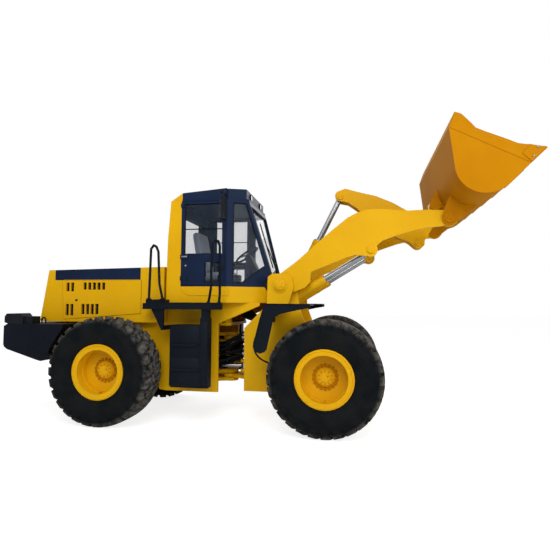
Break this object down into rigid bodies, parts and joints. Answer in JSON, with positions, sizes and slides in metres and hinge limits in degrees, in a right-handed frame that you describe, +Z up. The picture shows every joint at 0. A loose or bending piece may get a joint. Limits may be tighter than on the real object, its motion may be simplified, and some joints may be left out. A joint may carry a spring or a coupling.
{
  "type": "wheel loader",
  "caption": "Articulated wheel loader with raised boom, rolled-back bucket, glazed cab, side-opening hood and lugged tyres; boom, bucket, steering, wheels and doors move.",
  "frame": {"origin": "centre of the overall box at ground level", "axes": "+X forward along the machine, +Y to its left, +Z up"},
  "size_m": [7.1115, 2.74, 3.9538],
  "materials": {
    "yellow_paint": "gloss",
    "orange_paint": "gloss",
    "navy_paint": "satin",
    "black_paint": "satin",
    "tyre": "matt",
    "chrome": "polished",
    "steel": "satin",
    "glass": "clear",
    "seat_cloth": "matt",
    "cast": "matt",
    "lamp": "gloss",
    "plastic": "matt"
  },
  "bodies": {
    "rear": {"rear_frame": "yellow_paint", "counterweight": "black_paint", "tail_lamps": "lamp", "engine_block": "cast", "rear_grille": "black_paint", "hood_shell": "yellow_paint", "hood_top": "navy_paint", "cab_base": "yellow_paint", "cab_rear": "yellow_paint", "cab_frame": "navy_paint", "cab_roof": "navy_paint", "cab_glass": "glass", "cab_seat": "seat_cloth", "steering_column": "plastic", "platforms": "black_paint", "handrails": "black_paint", "step_boxes": "black_paint", "mirrors": "plastic", "rear_axle": "cast", "prop_shaft": "cast"},
    "hood_door_right": {"hood_door_right": "yellow_paint"},
    "hood_door_left": {"hood_door_left": "yellow_paint"},
    "cab_door_right": {"cab_door_right": "navy_paint", "door_glass_right": "glass"},
    "cab_door_left": {"cab_door_left": "navy_paint", "door_glass_left": "glass"},
    "front": {"front_frame": "yellow_paint", "front_fenders": "black_paint", "front_axle": "cast"},
    "boom": {"boom": "yellow_paint"},
    "bucket_pins": {"bucket_pins": "steel"},
    "bucket": {"bucket": "orange_paint", "cutting_edge": "steel"},
    "bellcrank_pin": {"bellcrank_pin": "steel"},
    "bellcrank": {"bellcrank": "yellow_paint"},
    "link_pin": {"link_pin": "steel"},
    "bucket_link": {"bucket_link": "yellow_paint"},
    "tilt_barrel": {"tilt_barrel": "yellow_paint"},
    "tilt_rod": {"tilt_rod": "chrome"},
    "wheel_rear_right": {"rim_rear_right": "yellow_paint", "tyre_rear_right": "tyre"},
    "wheel_rear_left": {"rim_rear_left": "yellow_paint", "tyre_rear_left": "tyre"},
    "wheel_front_right": {"rim_front_right": "yellow_paint", "tyre_front_right": "tyre"},
    "wheel_front_left": {"rim_front_left": "yellow_paint", "tyre_front_left": "tyre"},
    "lift_barrel_right": {"lift_barrel_right": "yellow_paint"},
    "lift_barrel_left": {"lift_barrel_left": "yellow_paint"},
    "lift_rod_right": {"lift_rod_right": "chrome"},
    "lift_rod_left": {"lift_rod_left": "chrome"},
    "steer_barrel_right": {"steer_barrel_right": "black_paint"},
    "steer_barrel_left": {"steer_barrel_left": "black_paint"},
    "steer_rod_right": {"steer_rod_right": "chrome"},
    "steer_rod_left": {"steer_rod_left": "chrome"}
  },
  "joints": [
    {"name": "articulation", "type": "hinge", "parent": "rear", "child": "front", "pos_m": [-0.53175, 0, 0.74], "axis": [0, 0, 1], "range_deg": [-35, 35]},
    {"name": "boom_lift", "type": "hinge", "parent": "front", "child": "boom", "pos_m": [0.33825, 0, 1.932], "axis": [0, -1, 0], "range_deg": [-67.5, 33]},
    {"name": "bucket_level", "type": "hinge", "parent": "boom", "child": "bucket_pins", "pos_m": [2.59141, 0, 2.815], "axis": [0, -1, 0], "range_deg": [-22.94, 46.4]},
    {"name": "bucket_tilt", "type": "hinge", "parent": "bucket_pins", "child": "bucket", "pos_m": [2.59141, 0, 2.815], "axis": [0, 1, 0], "range_deg": [-6, 98]},
    {"name": "bellcrank_level", "type": "hinge", "parent": "boom", "child": "bellcrank_pin", "pos_m": [1.69036, 0, 2.75725], "axis": [0, -1, 0], "range_deg": [-14.27, 7.23]},
    {"name": "bellcrank_tilt", "type": "hinge", "parent": "bellcrank_pin", "child": "bellcrank", "pos_m": [1.69036, 0, 2.75725], "axis": [0, -1, 0], "range_deg": [-1.69, 19.9]},
    {"name": "link_level", "type": "hinge", "parent": "bucket", "child": "link_pin", "pos_m": [2.49385, 0, 3.09684], "axis": [0, -1, 0], "range_deg": [-34.59, 17.16]},
    {"name": "link_tilt", "type": "hinge", "parent": "link_pin", "child": "bucket_link", "pos_m": [2.49385, 0, 3.09684], "axis": [0, -1, 0], "range_deg": [-2.91, 39.9]},
    {"name": "tilt_barrel_swing", "type": "hinge", "parent": "front", "child": "tilt_barrel", "pos_m": [0.41325, 0, 1.81], "axis": [0, -1, 0], "range_deg": [-68.88, 33.93]},
    {"name": "tilt_rod_slide", "type": "slide", "parent": "tilt_barrel", "child": "tilt_rod", "axis": [0.4468, 0, 0.8946], "range_m": [-0.26198, 0.01792]},
    {"name": "lift_barrel_swing_right", "type": "hinge", "parent": "front", "child": "lift_barrel_right", "pos_m": [0.36825, -0.44, 1.676], "axis": [0, -1, 0], "range_deg": [-66.38, 32.71]},
    {"name": "lift_rod_slide_right", "type": "slide", "parent": "lift_barrel_right", "child": "lift_rod_right", "axis": [0.8543, 0, 0.5198], "range_m": [-0.27178, 0.13389]},
    {"name": "steer_barrel_swing_right", "type": "hinge", "parent": "rear", "child": "steer_barrel_right", "pos_m": [-1.05174, -0.33, 0.76], "axis": [0, 0, 1], "range_deg": [-11.55, 11.55]},
    {"name": "steer_rod_slide_right", "type": "slide", "parent": "steer_barrel_right", "child": "steer_rod_right", "axis": [0.9971, 0.0757, 0], "range_m": [-0.17707, 0.17707]},
    {"name": "hood_door_right_hinge", "type": "hinge", "parent": "rear", "child": "hood_door_right", "pos_m": [-2.29175, -0.745, 2], "axis": [-1, 0, 0], "range_deg": [0, 75]},
    {"name": "cab_door_right_hinge", "type": "hinge", "parent": "rear", "child": "cab_door_right", "pos_m": [-1.07275, -0.7883, 2.5], "axis": [0, 0, -1], "range_deg": [0, 95]},
    {"name": "wheel_rear_right_spin", "type": "hinge", "parent": "rear", "child": "wheel_rear_right", "pos_m": [-2.04675, -1.025, 0.74], "axis": [0, 1, 0], "continuous": true},
    {"name": "wheel_front_right_spin", "type": "hinge", "parent": "front", "child": "wheel_front_right", "pos_m": [0.98325, -1.025, 0.74], "axis": [0, 1, 0], "continuous": true},
    {"name": "lift_barrel_swing_left", "type": "hinge", "parent": "front", "child": "lift_barrel_left", "pos_m": [0.36825, 0.44, 1.676], "axis": [0, -1, 0], "range_deg": [-66.38, 32.71]},
    {"name": "lift_rod_slide_left", "type": "slide", "parent": "lift_barrel_left", "child": "lift_rod_left", "axis": [0.8543, 0, 0.5198], "range_m": [-0.27178, 0.13389]},
    {"name": "steer_barrel_swing_left", "type": "hinge", "parent": "rear", "child": "steer_barrel_left", "pos_m": [-1.05174, 0.33, 0.76], "axis": [0, 0, 1], "range_deg": [-11.55, 11.55]},
    {"name": "steer_rod_slide_left", "type": "slide", "parent": "steer_barrel_left", "child": "steer_rod_left", "axis": [0.9971, -0.0757, 0], "range_m": [-0.17707, 0.17707]},
    {"name": "hood_door_left_hinge", "type": "hinge", "parent": "rear", "child": "hood_door_left", "pos_m": [-2.29175, 0.745, 2], "axis": [1, 0, 0], "range_deg": [0, 75]},
    {"name": "cab_door_left_hinge", "type": "hinge", "parent": "rear", "child": "cab_door_left", "pos_m": [-1.07275, 0.7883, 2.5], "axis": [0, 0, 1], "range_deg": [0, 95]},
    {"name": "wheel_rear_left_spin", "type": "hinge", "parent": "rear", "child": "wheel_rear_left", "pos_m": [-2.04675, 1.025, 0.74], "axis": [0, 1, 0], "continuous": true},
    {"name": "wheel_front_left_spin", "type": "hinge", "parent": "front", "child": "wheel_front_left", "pos_m": [0.98325, 1.025, 0.74], "axis": [0, 1, 0], "continuous": true}
  ],
  "couplings": [
    {"joint": "bucket_level", "follows": "boom_lift", "ratio": -0.68},
    {"joint": "bellcrank_level", "follows": "boom_lift", "ratio": 0.204},
    {"joint": "bellcrank_tilt", "follows": "bucket_tilt", "ratio": 0.198},
    {"joint": "link_level", "follows": "boom_lift", "ratio": 0.505},
    {"joint": "link_tilt", "follows": "bucket_tilt", "ratio": 0.402},
    {"joint": "tilt_barrel_swing", "follows": "boom_lift", "ratio": 1.013},
    {"joint": "tilt_rod_slide", "follows": "bucket_tilt", "m_per_rad": -0.152},
    {"joint": "lift_barrel_swing_right", "follows": "boom_lift", "ratio": 0.976},
    {"joint": "lift_rod_slide_right", "follows": "boom_lift", "m_per_rad": 0.229},
    {"joint": "steer_barrel_swing_right", "follows": "articulation", "ratio": 0.3157},
    {"joint": "steer_rod_slide_right", "follows": "articulation", "m_per_rad": 0.2866},
    {"joint": "lift_barrel_swing_left", "follows": "boom_lift", "ratio": 0.976},
    {"joint": "lift_rod_slide_left", "follows": "boom_lift", "m_per_rad": 0.229},
    {"joint": "steer_barrel_swing_left", "follows": "articulation", "ratio": 0.3157},
    {"joint": "steer_rod_slide_left", "follows": "articulation", "m_per_rad": -0.2866}
  ]
}
